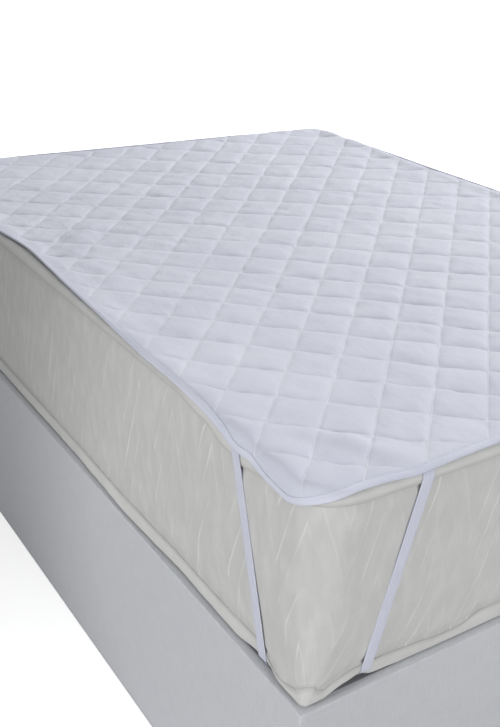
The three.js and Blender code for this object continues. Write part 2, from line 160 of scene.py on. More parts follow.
def through(rows, at):
    """A smooth curve through a table of (place, value) rows, read at each of the places given."""
    places, values = np.transpose(rows)
    slopes = np.gradient(values, places)
    at = np.clip(at, places[0], places[-1])
    row = row_before(places, at)
    span = places[row + 1] - places[row]
    t = (at - places[row]) / span
    return (
        values[row] * (2 * t**3 - 3 * t**2 + 1)
        + values[row + 1] * (3 * t**2 - 2 * t**3)
        + span * slopes[row] * (t**3 - 2 * t**2 + t)
        + span * slopes[row + 1] * (t**3 - t**2)
    )


def eased(rows, at):
    """Values between the (place, value) rows of a table, with a level stretch at each row."""
    places, values = np.transpose(rows)
    row = row_before(places, at)
    share = smooth((at - places[row]) / (places[row + 1] - places[row]))
    return values[row] + (values[row + 1] - values[row]) * share


def uneven(x, y, seed):
    """Smooth random heights from -1 to 1 over the plane, with about one hump a unit."""
    size = 64
    heights = np.random.default_rng(seed).uniform(-1, 1, (size, size))
    column, row = np.floor(x).astype(int), np.floor(y).astype(int)
    across, along = smooth(x - column), smooth(y - row)

    def on_row(number):
        left, right = (heights[number % size, place % size] for place in (column, column + 1))
        return left * (1 - across) + right * across

    return on_row(row) * (1 - along) + on_row(row + 1) * along


def spread_over_mattress(u, v):
    """Where the panel's own point (u, v) comes over the mattress, with its edges pulled or slack."""
    def near_edge(inside):
        return 1 - smooth(inside / EDGE_SLACK_WIDTH)
    x = (
        u
        - through(LEFT_EDGE, v) * near_edge(u + MATTRESS_HALF.x)
        + through(RIGHT_EDGE, v) * near_edge(MATTRESS_HALF.x - u)
    )
    y = (
        v
        - through(FOOT_EDGE, u) * near_edge(v + MATTRESS_HALF.y)
        + through(HEAD_EDGE, u) * near_edge(MATTRESS_HALF.y - v)
    )
    return x, y


def beyond_rounded(x, y, inset, radius):
    """Distance outside the mattress's outline drawn in by an inset, with a corner radius of its own.

    With it come the distance past the corner's centre and the two parts of that distance.
    """
    corner_x = np.abs(x) - (MATTRESS_HALF.x - inset - radius)
    corner_y = np.abs(y) - (MATTRESS_HALF.y - inset - radius)
    past = np.hypot(np.maximum(corner_x, 0), np.maximum(corner_y, 0))
    return past + np.minimum(np.maximum(corner_x, corner_y), 0) - radius, past, corner_x, corner_y


def beyond_bend(x, y):
    """Distance outside the line where the mattress's top bends down, and the direction outwards."""
    radius = MATTRESS_CORNER - TOP_EDGE
    distance, past, corner_x, corner_y = beyond_rounded(x, y, TOP_EDGE, radius)
    in_corner = (corner_x > 0) & (corner_y > 0)
    safe = np.where(past > 0, past, 1)
    nx = np.where(in_corner, corner_x / safe, corner_x > corner_y)
    ny = np.where(in_corner, corner_y / safe, corner_x <= corner_y)
    return distance, nx * np.sign(x), ny * np.sign(y)


def ridge_height(x, y):
    height = np.zeros_like(x)
    for ridge_x, ridge_y, heading, reach, spread, top in RIDGES:
        angle = math.radians(heading)
        along = (x - ridge_x) * math.cos(angle) + (y - ridge_y) * math.sin(angle)
        across = (y - ridge_y) * math.cos(angle) - (x - ridge_x) * math.sin(angle)
        height += top * np.exp(-((along / reach) ** 2) - (across / spread) ** 2)
    return height


def laid(u, v):
    """The panel's underside, as points in space, for its own flat coordinates."""
    x, y = spread_over_mattress(u, v)
    distance, nx, ny = beyond_bend(x, y)
    ridge = ridge_height(x, y)
    rise = smooth(1 + distance / PANEL_RISE_WIDTH) * (PANEL_EDGE_RADIUS - TOP_EDGE - SEAT_GAP)
    angle = np.clip(distance / PANEL_EDGE_RADIUS, 0, math.pi / 2)
    over = distance > 0
    out = np.where(over, PANEL_EDGE_RADIUS * np.sin(angle) - distance, 0)
    hanging = PANEL_EDGE_RADIUS * (np.cos(angle) + angle) - distance + ridge * np.cos(angle)
    z = np.where(over, MATTRESS_TOP - TOP_EDGE + hanging, MATTRESS_TOP + SEAT_GAP + rise + ridge)
    return np.stack([x + nx * out, y + ny * out, z], -1)


def laid_normals(u, v):
    step = 0.0015
    along_u = laid(u + step, v) - laid(u - step, v)
    along_v = laid(u, v + step) - laid(u, v - step)
    return unit(np.cross(along_u, along_v))


def inside_edge(u, v):
    """Distance of the panel's own point from its own cut edge, inwards."""
    return -beyond_rounded(u, v, 0, PANEL_CORNER)[0]


# -------- mesh helpers

def new_object(name, data):
    made = bpy.data.objects.new(name, data)
    bpy.context.scene.collection.objects.link(made)
    return made


def new_piece(name, points, faces, maps=None):
    """A mesh object from arrays of points and faces. maps are UV maps given point by point."""
    mesh = bpy.data.meshes.new(name)
    mesh.from_pydata(np.reshape(points, (-1, 3)).tolist(), [], faces)
    corners = np.zeros(len(mesh.loops), int)
    mesh.loops.foreach_get("vertex_index", corners)
    for map_name, values in (maps or {}).items():
        layer = mesh.uv_layers.new(name=map_name)
        layer.uv.foreach_set("vector", np.asarray(values, np.float32)[corners].ravel())
    mesh.validate()
    mesh.polygons.foreach_set("use_smooth", [True] * len(mesh.polygons))
    return new_object(name, mesh)


def band_faces(rows, columns, wrap_rows=False, wrap_columns=False):
    """Quads between neighbouring rows of points."""
    faces = []
    for row in range(rows if wrap_rows else rows - 1):
        for column in range(columns if wrap_columns else columns - 1):
            next_row, next_column = (row + 1) % rows, (column + 1) % columns
            faces.append((
                row * columns + column,
                row * columns + next_column,
                next_row * columns + next_column,
                next_row * columns + column,
            ))
    return faces


def grid_map(down, across):
    """A UV map for rows of points from one measure for each row and one for each column."""
    return np.stack(np.broadcast_arrays(down[:, None], across[None, :]), -1).reshape(-1, 2)


def closed_tube_faces(rows, columns):
    """The faces of a tube of stacked rings, with a cap at each end."""
    faces = band_faces(rows, columns, wrap_columns=True)
    faces.append(list(range(columns))[::-1])
    faces.append([(rows - 1) * columns + column for column in range(columns)])
    return faces


def run_along(points):
    """Length run from the first of a line of points to each of them."""
    return np.concatenate([[0], np.cumsum(np.linalg.norm(np.diff(points, axis=0), axis=1))])


def rounded_outline(half_x, half_y, radius, spacing):
    """Points, outward directions and lengths run along a rounded rectangle, anticlockwise."""
    points, outwards = [], []
    signs = ((1, -1), (1, 1), (-1, 1), (-1, -1))
    centres = [np.array([x * (half_x - radius), y * (half_y - radius)]) for x, y in signs]
    side_steps = (round(2 * (half_y - radius) / spacing), round(2 * (half_x - radius) / spacing))
    arc_steps = max(8, round(math.pi / 2 * radius / spacing * 2))
    for number, centre in enumerate(centres):
        for step in range(arc_steps + 1):
            angle = math.radians(-90 + 90 * number + 90 * step / arc_steps)
            outward = np.array([math.cos(angle), math.sin(angle)])
            points.append(centre + radius * outward)
            outwards.append(outward)
        side = centres[(number + 1) % 4] - centre
        steps = side_steps[number % 2]
        for step in range(1, steps):
            points.append(centre + side * step / steps + radius * outward)
            outwards.append(outward)
    return np.array(points), np.array(outwards), run_along(points)


# -------- materials

class Nodes:
    """Short names for building a node material."""

    def __init__(self, name, roughness, sheen=0.0, specular=0.25):
        self.material = bpy.data.materials.new(name)
        self.material.use_nodes = True
        self.tree = self.material.node_tree
        self.shader = self.tree.nodes["Principled BSDF"]
        for socket, value in (
            ("Roughness", roughness), ("Sheen Weight", sheen), ("Specular IOR Level", specular),
        ):
            self.shader.inputs[socket].default_value = value

    def add(self, kind, inputs=(), **settings):
        """A new node. inputs are values or other nodes' outputs by socket name or number."""
        node = self.tree.nodes.new("ShaderNode" + kind)
        for name, value in settings.items():
            setattr(node, name, value)
        for socket, value in dict(inputs).items():
            self.put(value, node.inputs[socket])
        return node

    def put(self, value, socket):
        if hasattr(value, "is_linked"):
            self.tree.links.new(value, socket)
        else:
            socket.default_value = value

    def math(self, operation, first, second=0.0):
        return self.add("Math", {0: first, 1: second}, operation=operation).outputs[0]

    def plus(self, first, second):
        return self.math("ADD", first, second)

    def minus(self, first, second):
        return self.math("SUBTRACT", first, second)

    def times(self, first, second):
        return self.math("MULTIPLY", first, second)

    def ribs(self, place, pitch):
        """Rounded ridges, one every pitch."""
        return self.math("ABSOLUTE", self.math("SINE", self.times(place, math.pi / pitch)))

    def uv(self, map_name, scale=(1, 1, 1)):
        source = self.add("UVMap", uv_map=map_name).outputs[0]
        return self.add("Mapping", {"Vector": source, "Scale": scale}).outputs[0]

    def split_uv(self, map_name, scale=(1, 1, 1)):
        parts = self.add("SeparateXYZ", {0: self.uv(map_name, scale)}).outputs
        return parts[0], parts[1]

    def noise(self, map_name, scale, detail=2.0, roughness=0.5, stretch=(1, 1, 1)):
        settings = {"Scale": scale, "Detail": detail, "Roughness": roughness}
        return self.add("TexNoise", {"Vector": self.uv(map_name, stretch)} | settings).outputs["Fac"]

    def range(self, value, low, high, to_low=0.0, to_high=1.0):
        return self.add("MapRange", enumerate((value, low, high, to_low, to_high))).outputs[0]

    def mix(self, share, first, second):
        colors = {"Factor": share, "A": first, "B": second}
        return self.add("Mix", colors, data_type="RGBA").outputs["Result"]

    def mottled(self, noise, first, second):
        """Two near colours that change with a noise."""
        return self.mix(self.range(noise, 0.3, 0.7), first, second)

    def bump(self, height, distance, strength, under=None):
        """A normal raised by a height, on top of the normal under it if there is one."""
        inputs = {"Strength": strength, "Distance": distance, "Height": height}
        if under is not None:
            inputs["Normal"] = under
        return self.add("Bump", inputs).outputs[0]

    def finish(self, color, normal):
        self.put(color, self.shader.inputs["Base Color"])
        self.put(normal, self.shader.inputs["Normal"])
        return self.material


def srgb(red, green, blue):
    """A colour given in 0 to 255 screen values, as the linear colour that the shader takes."""
    def linear(value):
        value /= 255
        return value / 12.92 if value <= 0.04045 else ((value + 0.055) / 1.055) ** 2.4
    return (linear(red), linear(green), linear(blue), 1.0)


def weave_height(nodes, map_name, pitch):
    """A plain weave: warp and weft threads that pass over each other in turn."""
    u, v = nodes.split_uv(map_name, (math.pi / pitch, math.pi / pitch, 1))
    warp, weft = nodes.math("SINE", u), nodes.math("SINE", v)
    threads = nodes.math("MAXIMUM", nodes.math("ABSOLUTE", warp), nodes.math("ABSOLUTE", weft))
    return nodes.plus(threads, nodes.times(nodes.times(warp, weft), 0.35))


# The stitching thread: half its width as it fades out and where it is full, and one stitch's length.
THREAD = {"faded": 0.0013, "full": 0.0006, "stitch": 0.0034}
# How much the stitches of each set show: the second set is pulled deeper into the wadding.
THREAD_SHARES = (1.0, 0.35)
COTTON_THREADS = 0.0006


def quilted_cotton():
    nodes = Nodes("quilted_cotton", roughness=0.86, sheen=0.25)
    lines = nodes.split_uv("quilt")
    weave = nodes.bump(weave_height(nodes, "cloth", COTTON_THREADS), 0.00012, 0.6)
    gathers = nodes.noise("cloth", 70, 3, 0.55, stretch=(1, 0.55, 1))
    creases = nodes.bump(gathers, 0.0022, 0.55, weave)
    thread = None
    for number, across in enumerate(lines):
        spacing = abs(QUILT_LINES[number]["gap"])
        along = lines[1 - number]
        from_line = nodes.math("PINGPONG", across, 0.5)
        near = nodes.range(from_line, THREAD["faded"] / spacing, THREAD["full"] / spacing)
        stitch_length = THREAD["stitch"] / spacing
        in_stitch = nodes.math("PINGPONG", along, stitch_length / 2)
        dash = nodes.range(in_stitch, stitch_length * 0.06, stitch_length * 0.14)
        stitch = nodes.times(nodes.times(near, dash), THREAD_SHARES[number])
        thread = stitch if thread is None else nodes.math("MAXIMUM", thread, stitch)
    normal = nodes.bump(thread, 0.0004, 0.8, creases)
    color = nodes.mottled(nodes.noise("cloth", 5, 3), srgb(203, 206, 220), srgb(211, 213, 226))
    color = nodes.mix(nodes.times(thread, 0.8), color, srgb(234, 235, 243))
    return nodes.finish(color, normal)


def binding_cotton():
    nodes = Nodes("binding_cotton", roughness=0.82, sheen=0.2)
    weave = nodes.bump(weave_height(nodes, "cloth", COTTON_THREADS), 0.00012, 0.5)
    creases = nodes.bump(nodes.noise("cloth", 90, stretch=(1, 2.2, 1)), 0.0012, 0.5, weave)
    color = nodes.mottled(nodes.noise("cloth", 12), srgb(205, 208, 224), srgb(213, 215, 229))
    return nodes.finish(color, creases)


def elastic_webbing():
    nodes = Nodes("elastic_webbing", roughness=0.7, sheen=0.15)
    along, across = nodes.split_uv("band")
    ribs = nodes.ribs(across, 0.0016)
    picks = nodes.ribs(along, 0.0009)
    cord = nodes.times(ribs, nodes.plus(0.7, nodes.times(picks, 0.3)))
    normal = nodes.bump(cord, 0.0003, 0.7)
    shade = nodes.noise("band", 40, stretch=(1, 4, 1))
    color = nodes.mottled(shade, srgb(203, 205, 221), srgb(211, 213, 227))
    # Painted shade: the webbing is drawn darker in the grooves between its ribs.
    color = nodes.mix(nodes.range(ribs, 0.5, 0.0, 0.0, 0.35), color, srgb(180, 183, 203))
    return nodes.finish(color, normal)


# Zigzags of the ticking. A leg runs half_period along the border and rises by its slope, and the
# zigzags lie one above the other by repeat. Widths are those of the light stroke and of its ridge.
CHEVRON = {"half_period": 0.062, "slope": 3.4, "repeat": 0.105, "stroke": 0.0052, "ridge": 0.013}
FIRST_PEAK = {"x": -0.565, "z": 0.630}
RISING_LEG, FALLING_LEG = 1.0, 0.45


def mattress_ticking():
    """Knitted ticking: a fine mottled ground, and tall zigzags of a thin lighter thread on low ridges."""
    nodes = Nodes("mattress_ticking", roughness=0.8, sheen=0.2)
    along, up = nodes.split_uv("around")
    half, repeat, slope = CHEVRON["half_period"], CHEVRON["repeat"], CHEVRON["slope"]
    peak_place = LENGTHS[-1] + FIRST_PEAK["x"] - (MATTRESS_HALF.x - MATTRESS_CORNER)
    wander = nodes.times(nodes.minus(nodes.noise("around", 4, 1), 0.5), 0.016)
    from_peak = nodes.plus(nodes.minus(along, peak_place), wander)
    zigzag = nodes.math("PINGPONG", from_peak, half)
    level = nodes.plus(nodes.minus(up, FIRST_PEAK["z"]), nodes.times(zigzag, slope))
    from_stroke = nodes.math("PINGPONG", level, repeat / 2)
    stroke = nodes.range(from_stroke, CHEVRON["stroke"] * slope / 2, 0.0)
    shown = nodes.range(nodes.noise("around", 17, stretch=(1, 0.35, 1)), 0.42, 0.68)
    falls = nodes.math("LESS_THAN", nodes.math("FRACT", nodes.math("DIVIDE", from_peak, 2 * half)), 0.5)
    stroke = nodes.times(stroke, nodes.range(falls, 0.0, 1.0, RISING_LEG, FALLING_LEG))
    stroke = nodes.times(stroke, shown)
    ridge = nodes.range(from_stroke, CHEVRON["ridge"] * slope / 2, 0.0)
    knit = nodes.noise("around", 420, 3, 0.65, stretch=(1, 0.6, 1))
    streaks = nodes.noise("around", 150, 2, 0.6, stretch=(1, 0.08, 1))
    normal = nodes.bump(nodes.ribs(along, 0.0022), 0.0003, 0.3)
    normal = nodes.bump(knit, 0.0008, 0.5, normal)
    normal = nodes.bump(nodes.noise("around", 30, 3), 0.004, 0.35, normal)
    normal = nodes.bump(ridge, 0.0009, 0.5, normal)
    normal = nodes.bump(stroke, 0.0005, 0.5, normal)
    color = nodes.mottled(knit, srgb(193, 193, 192), srgb(200, 200, 199))
    color = nodes.mix(nodes.range(streaks, 0.5, 0.8, 0.0, 0.5), color, srgb(188, 188, 187))
    patches = nodes.range(nodes.noise("around", 42, stretch=(1, 0.4, 1)), 0.42, 0.70, 0.0, 0.8)
    color = nodes.mix(patches, color, srgb(207, 207, 206))
    cloudy = nodes.range(nodes.noise("around", 7, 3), 0.35, 0.7, 0.0, 0.5)
    color = nodes.mix(cloudy, color, srgb(193, 193, 191))
    color = nodes.mix(stroke, color, srgb(226, 226, 224))
    return nodes.finish(color, normal)


def mattress_tape():
    """Woven edge tape, darker towards where it is sewn to the ticking: a darker sewn line, with painted
    shade from the seam's groove fading out over 8 mm.
    """
    nodes = Nodes("mattress_tape", roughness=0.75, sheen=0.15)
    along, from_seam = nodes.split_uv("around")
    twill = nodes.ribs(nodes.plus(nodes.times(along, 0.6), from_seam), 0.0014)
    normal = nodes.bump(twill, 0.0003, 0.5)
    normal = nodes.bump(nodes.noise("around", 60, stretch=(1, 2, 1)), 0.0015, 0.4, normal)
    color = nodes.mottled(nodes.noise("around", 16, 3), srgb(202, 202, 200), srgb(212, 212, 210))
    # Partly painted shade: the colour darkens over the last 8 mm to the seam, for the sewn line and the
    # shade of the groove beside it.
    color = nodes.mix(nodes.range(from_seam, 0.008, 0.0, 0.0, 0.9), color, srgb(180, 180, 177))
    return nodes.finish(color, normal)


def base_upholstery(painted_shade_run):
    """Woven upholstery. From the given run on, the top is drawn darker: painted shade for the shadow in the
    gap under the mattress's edge.
    """
    nodes = Nodes("base_upholstery", roughness=0.85, sheen=0.1)
    normal = nodes.bump(weave_height(nodes, "around", 0.0016), 0.0003, 0.5)
    normal = nodes.bump(nodes.noise("around", 30, 3), 0.002, 0.15, normal)
    threads = nodes.noise("around", 330, 3, 0.6, stretch=(1, 0.06, 1))
    picks = nodes.noise("around", 330, 3, 0.6, stretch=(0.06, 1, 1))
    mottle = nodes.plus(threads, picks)
    color = nodes.mix(nodes.range(mottle, 0.75, 1.25), srgb(193, 195, 200), srgb(203, 205, 209))
    cloudy = nodes.range(nodes.noise("around", 3, 3), 0.35, 0.65, 0.0, 0.4)
    color = nodes.mix(cloudy, color, srgb(195, 197, 202))
    _, run = nodes.split_uv("around")
    # Painted shade: the base's top under the mattress's edge is drawn darker, for the shadow in the narrow
    # gap there.
    painted_shade = nodes.range(run, painted_shade_run - 0.001, painted_shade_run + 0.001)
    color = nodes.mix(painted_shade, color, srgb(128, 129, 133))
    return nodes.finish(color, normal)


def dress(piece, material, slot, *replaced):
    piece.data.materials.clear()
    piece.data.materials.append(material)
    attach(piece, "root")
    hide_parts(*replaced)
    return piece


# -------- quilted panel

# Vertex places across one quilted square, from stitch line to stitch line: closer near the stitching.
FINE_STEPS = 16
COARSE_STEPS = (0.0, 0.08, 0.3, 0.7, 0.92)
# The line number at a point, and the cloth's own point there, are found in steps: each pass goes on
# by what is still left, and a line number by this share of it.
NUMBER_PASSES = 30
PASS_SHARE = 0.7
PLACE_PASSES = 14


def fine_steps():
    t = np.arange(FINE_STEPS) / FINE_STEPS
    return t - 0.62 * np.sin(2 * math.pi * t) / (2 * math.pi)


def line_at(lines, number):
    """Distance of a line from QUILT_MIDDLE, and the direction across it, for any line number."""
    heading = np.interp(number, LINE_NUMBERS, lines["headings"])
    turned = heading - math.radians(lines["normal"])
    return np.interp(number, LINE_NUMBERS, lines["distances"]) * np.cos(turned), heading


def quilt_numbers(u, v):
    """Line numbers of both stitched sets at a point: whole numbers lie on the stitching.

    The lines run straight over the mattress, however the cloth's edges are pulled.
    """
    x, y = spread_over_mattress(u, v)
    numbers = []
    for lines in QUILT_LINES:
        number = np.zeros_like(u)
        for _ in range(NUMBER_PASSES):
            distance, heading = line_at(lines, number)
            across = (x - QUILT_MIDDLE[0]) * np.cos(heading) + (y - QUILT_MIDDLE[1]) * np.sin(heading)
            number = number + (across - distance) / lines["gap"] * PASS_SHARE
        numbers.append(number)
    return numbers


def quilt_places(first, second):
    """The flat point at given line numbers of both sets."""
    (away, heading), (other_away, other_heading) = (
        line_at(lines, number) for lines, number in zip(QUILT_LINES, (first, second))
    )
    size = np.sin(other_heading - heading)
    x = QUILT_MIDDLE[0] + (away * np.sin(other_heading) - other_away * np.sin(heading)) / size
    y = QUILT_MIDDLE[1] + (other_away * np.cos(heading) - away * np.cos(other_heading)) / size
    u, v = x, y
    for _ in range(PLACE_PASSES):
        spread_x, spread_y = spread_over_mattress(u, v)
        u, v = u + x - spread_x, v + y - spread_y
    return u, v


def clipped_lattice(steps, inset):
    """A flat mesh on the stitch lines' lattice, cut to the panel's outline: points, faces and rim."""
    half_u, half_v = MATTRESS_HALF.x - inset, MATTRESS_HALF.y - inset
    corner_u = np.array([-half_u, half_u, half_u, -half_u])
    corner_v = np.array([-half_v, -half_v, half_v, half_v])
    axes = []
    for numbers in quilt_numbers(corner_u, corner_v):
        low, high = math.floor(numbers.min()) - 1, math.ceil(numbers.max()) + 1
        axes.append(np.concatenate([whole + np.asarray(steps) for whole in range(low, high)]))
    first, second = np.meshgrid(*axes, indexing="ij")
    u, v = quilt_places(first, second)
    cells = np.array(band_faces(len(axes[0]), len(axes[1])))
    margin = 0.02
    near = (np.abs(u) < half_u + margin) & (np.abs(v) < half_v + margin)
    cells = cells[near.ravel()[cells].all(1)]
    used, renumbered = np.unique(cells, return_inverse=True)
    flat = np.stack([u.ravel()[used], v.ravel()[used], np.zeros(len(used))], -1)
    mesh = bpy.data.meshes.new("lattice")
    mesh.from_pydata(flat.tolist(), [], renumbered.reshape(cells.shape).tolist())
    work = bmesh.new()
    work.from_mesh(mesh)
    bpy.data.meshes.remove(mesh)
    radius = PANEL_CORNER - inset
    centre = np.array([half_u - radius, half_v - radius])
    outwards = [(1, 0), (-1, 0), (0, 1), (0, -1)]
    for sign_u in (-1, 1):
        for sign_v in (-1, 1):
            for angle in np.radians((15, 30, 45, 60, 75)):
                outwards.append((sign_u * math.cos(angle), sign_v * math.sin(angle)))
    for outward in np.array(outwards):
        place = np.sign(outward) * centre + outward * radius
        bmesh.ops.bisect_plane(
            work,
            geom=work.verts[:] + work.edges[:] + work.faces[:],
            dist=0.00002,
            plane_co=(*place, 0),
            plane_no=(*outward, 0),
            clear_outer=True,
        )
    bmesh.ops.remove_doubles(work, verts=work.verts, dist=0.00005)
    if sum(face.normal.z for face in work.faces) < 0:
        bmesh.ops.reverse_faces(work, faces=work.faces)
    work.verts.index_update()
    points = np.array([vertex.co[:2] for vertex in work.verts])
    faces = [[vertex.index for vertex in face.verts] for face in work.faces]
    follows = {}
    for edge in work.edges:
        if edge.is_boundary:
            loop = edge.link_loops[0]
            follows[loop.vert.index] = loop.link_loop_next.vert.index
    start = next(iter(follows))
    rim = [start]
    while follows[rim[-1]] != start:
        rim.append(follows[rim[-1]])
    work.free()
    return points, faces, rim


def rim_places(points, rim):
    """Share of the way round the outline of each rim point, starting from the one nearest +U."""
    angles = np.arctan2(points[rim, 1], points[rim, 0])
    first = int(np.argmin(np.abs(angles)))
    rim = rim[first:] + rim[:first]
    run = run_along(points[rim + rim[:1]])
    return rim, run / run[-1]


def wall_between(upper, upper_places, lower, lower_places):
    """Triangles that close the gap between two rims with different numbers of points."""
    faces = []
    top, bottom = 0, 0
    while top < len(upper) or bottom < len(lower):
        here, below = upper[top % len(upper)], lower[bottom % len(lower)]
        climbs = bottom == len(lower) or (
            top < len(upper) and upper_places[top + 1] <= lower_places[bottom + 1]
        )
        if climbs:
            faces.append([here, below, upper[(top + 1) % len(upper)]])
            top += 1
        else:
            faces.append([here, below, lower[(bottom + 1) % len(lower)]])
            bottom += 1
    return faces


def puff(u, v):
    """Height of the wadding over the stitched lines: two soft slopes multiplied, with a low crown."""
    height = np.ones_like(u)
    crown = np.ones_like(u)
    for lines, number in zip(QUILT_LINES, quilt_numbers(u, v)):
        share = np.abs(number - np.round(number)) * 2
        from_line = share * abs(lines["gap"]) / 2
        height *= 1 - np.exp(-((from_line / VALLEY_WIDTH) ** 0.9))
        crown *= 1 - (1 - share) ** 2
    # The wadding stands fuller towards the right, and lower in the far half.
    fullness = (0.78 + 0.32 * smooth((u + 0.55) / 0.7)) * (1 - 0.28 * smooth((v + 0.5) / 0.5))
    return (PUFF_HEIGHT * height + CROWN_HEIGHT * crown) * fullness


def creases(u, v):
    """Small uneven gathers: puckers square to each stitched line, and longer soft waves."""
    first, second = quilt_numbers(u, v)
    height = np.zeros_like(u)
    for across, along, lines, seed in (
        (first, second, QUILT_LINES[0], 11), (second, first, QUILT_LINES[1], 12),
    ):
        from_line = np.abs(across - np.round(across)) * abs(lines["gap"])
        close = np.exp(-from_line / PUCKERS["reach"]) * (1 - np.exp(-from_line / 0.003))
        side = np.sign(across - np.round(across))
        places = along * PUCKERS["to_square"], np.round(across) * 3.7 + side * 1.3
        height += PUCKERS["height"] * close * uneven(*places, seed)
    slanted, level = u * 0.8 + v * 0.6, v * 0.8 - u * 0.6
    for wave, across, along in zip(WAVES, (slanted, level), (level, slanted)):
        height += wave["height"] * uneven(across / wave["across"], along / wave["along"], wave["seed"])
    return height


def quilted_top(u, v):
    """The panel's upper face in space."""
    inside = inside_edge(u, v)
    free = smooth((inside - 0.5 * BINDING_WIDTH) / FREE_WIDTH)
    thickness = STITCHED_THICKNESS + (puff(u, v) + creases(u, v)) * free
    swell = SWELL["height"] * uneven(u / SWELL["size"], v / SWELL["size"], 31) * smooth(inside / 0.1)
    return laid(u, v) + laid_normals(u, v) * (thickness + swell)[:, None]


def quilt_panel():
    inset = 0.0018
    top, top_faces, top_rim = clipped_lattice(fine_steps(), inset)
    under, under_faces, under_rim = clipped_lattice(COARSE_STEPS, inset)
    top_points = quilted_top(*top.T)
    under_points = laid(*under.T) + laid_normals(*under.T) * PANEL_LIFT
    count = len(top)
    under_faces = [[index + count for index in reversed(face)] for face in under_faces]
    top_rim, top_places = rim_places(top, top_rim)
    under_rim, under_places = rim_places(under, under_rim)
    wall = wall_between(top_rim, top_places, [index + count for index in under_rim], under_places)
    flat = np.concatenate([top, under])
    maps = {"cloth": flat, "quilt": np.stack(quilt_numbers(*flat.T), -1)}
    points = np.concatenate([top_points, under_points])
    piece = new_piece("quilted_panel", points, top_faces + under_faces + wall, maps)
    return dress(piece, quilted_cotton(), "quilted_cotton", "quilt_panel")


# The binding's lines of points, as shares of its width. It is stitched at one of them, where it dips,
# bulges round the panel's edge and is gathered a little all along.
BINDING_LINES = (1.0, 0.94, 0.84, 0.76, 0.68, 0.5, 0.3, 0.12)
BINDING_STITCH = {"at": 0.76, "dip": 0.00055, "width": 0.0009}
BINDING_LOFT = 0.0004
BINDING_BULGE = 0.0010
BINDING_GATHER = {"height": 0.0003, "size": 0.011}


def edge_binding():
    """Tape folded round the panel's edge, stitched near its inner edge on both faces."""
    outline, outwards, lengths = rounded_outline(MATTRESS_HALF.x, MATTRESS_HALF.y, PANEL_CORNER, 0.007)
    leg = np.array(BINDING_LINES) * BINDING_WIDTH
    stitched = BINDING_STITCH["at"] * BINDING_WIDTH
    gather = BINDING_GATHER["height"] * uneven(lengths / BINDING_GATHER["size"], 3.5, 41)
    # Lines of points along the tape: face, gap from the panel or height on the fold, distance inside.
    rows = [("top", SEAT_GAP, distance) for distance in leg[::-1]]
    rows += [("top", BINDING_THICKNESS, distance) for distance in leg]
    rows += [("fold", turn, 0.0002) for turn in (0.85, 0.5, 0.15)]
    rows += [("under", BINDING_THICKNESS, distance) for distance in leg[::-1]]
    rows += [("under", SEAT_GAP, distance) for distance in leg]
    columns = []
    for side, gap, inside in rows:
        u, v = (outline - outwards * inside).T
        if side == "fold":
            height = STITCHED_THICKNESS * 1.5 * gap
        elif side == "top":
            dip = BINDING_STITCH["dip"] * math.exp(-((inside - stitched) / BINDING_STITCH["width"]) ** 2)
            height = STITCHED_THICKNESS + gap + BINDING_LOFT - dip * (gap > SEAT_GAP) + gather
        else:
            height = -gap
        place = laid(u, v) + laid_normals(u, v) * np.broadcast_to(height, lengths.shape)[:, None]
        if side == "fold":
            rim = unit(laid(u, v) - laid(*(outline - outwards * 0.003).T))
            place = place + rim * (BINDING_BULGE + gather[:, None])
        columns.append(place)
    points = np.stack(columns, 1)
    cloth = grid_map(lengths, run_along(points[0]))
    faces = band_faces(len(outline), len(rows), wrap_rows=True, wrap_columns=True)
    piece = new_piece("edge_binding_tape", points, faces, {"cloth": cloth})
    return dress(piece, binding_cotton(), "binding_cotton", "edge_binding")


# -------- mattress, its tapes and the base

def closed_body(name, rings, around):
    """A body of stacked rings of points, lowest first."""
    faces = closed_tube_faces(len(rings), len(rings[0]))
    return new_piece(name, np.concatenate(rings), faces, {"around": np.concatenate(around)})


# Stations round the mattress, and what changes along them.
STATIONS, OUTWARDS, LENGTHS = rounded_outline(MATTRESS_HALF.x, MATTRESS_HALF.y, MATTRESS_CORNER, 0.009)


def by_side(left, foot, right, head):
    """A value for each station, from tables of the left side and the foot and one number for each of
    the other sides, blended round the corners."""
    x, y = STATIONS.T
    out_x, out_y = OUTWARDS.T
    sides = np.where(out_x < 0, eased(left, y), right)
    ends = np.where(out_y < 0, eased(foot, x), head)
    return sides * out_x**2 + ends * out_y**2


# Depth of the top tape's lower edge below the mattress's top. The near left band pulls it down.
TOP_SEAM_DROP = by_side(
    left=((-0.94, 0.020), (-0.82, 0.031), (-0.75, 0.041), (-0.70, 0.037), (-0.63, 0.020),
          (-0.54, 0.011), (0.94, 0.010)),
    foot=((-0.69, 0.012), (-0.66, 0.014), (-0.60, 0.018), (-0.40, 0.017), (-0.30, 0.014), (0.69, 0.012)),
    right=0.012,
    head=0.011,
)
# Height of the bottom tape's upper edge above the mattress's bottom.
LOW_SEAM = by_side(
    left=((-0.94, 0.030), (-0.895, 0.022), (-0.84, 0.012), (-0.815, 0.014), (-0.79, 0.030),
          (0.94, 0.032)),
    foot=((-0.69, 0.030), (-0.655, 0.029), (-0.63, 0.024), (-0.615, 0.018), (-0.603, 0.026),
          (-0.575, 0.031), (-0.52, 0.029), (-0.446, 0.025), (-0.405, 0.020), (-0.36, 0.020),
          (-0.319, 0.033), (0.69, 0.032)),
    right=0.030,
    head=0.030,
)
# The near bands lift the mattress's lower edge off the base where they pass round it. Elsewhere on the
# foot it sinks a little.
LOWER_LIFT = by_side(
    left=((-0.86, 0.0), (-0.80, 0.004), (-0.775, 0.004), (-0.73, 0.0), (0.94, 0.0)),
    foot=((-0.606, 0.0), (-0.574, 0.011), (-0.545, 0.011), (-0.516, 0.0), (-0.47, -0.0022),
          (0.69, -0.0022)),
    right=0.0,
    head=0.0,
)
